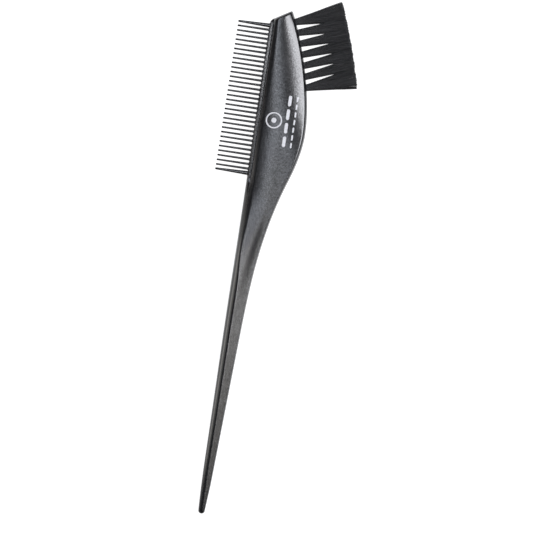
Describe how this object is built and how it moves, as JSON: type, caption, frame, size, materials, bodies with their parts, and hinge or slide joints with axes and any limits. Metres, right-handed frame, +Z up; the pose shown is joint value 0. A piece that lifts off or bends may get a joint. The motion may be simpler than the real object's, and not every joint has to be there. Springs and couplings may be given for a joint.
{
  "type": "tint brush",
  "caption": "Slim moulded tint brush: a tapering tail handle whose head has a fine-toothed comb along one edge and a row of bristle tufts along the other.",
  "frame": {"origin": "under the middle of the bounding box, on the surface that the brush lies on", "axes": "+Y along the handle from its tail to its head, +X towards the bristles and away from the comb, +Z up through its thickness"},
  "size_m": [0.055, 0.2252, 0.0075],
  "materials": {
    "handle_plastic": "satin charcoal, with a fine moulded grain",
    "bristle_nylon": "black drawn filament, slightly glossy",
    "anchor_metal": "sheared flat wire",
    "print_ink": "white pad print"
  },
  "bodies": {
    "root": {"handle_with_comb": "handle_plastic", "bristle_tuft_1": "bristle_nylon", "bristle_tuft_2": "bristle_nylon", "bristle_tuft_3": "bristle_nylon", "bristle_tuft_4": "bristle_nylon", "bristle_tuft_5": "bristle_nylon", "bristle_tuft_6": "bristle_nylon", "bristle_tuft_7": "bristle_nylon", "anchor_staple_1": "anchor_metal", "anchor_staple_2": "anchor_metal", "anchor_staple_3": "anchor_metal", "anchor_staple_4": "anchor_metal", "anchor_staple_5": "anchor_metal", "anchor_staple_6": "anchor_metal", "anchor_staple_7": "anchor_metal"}
  },
  "joints": []
}
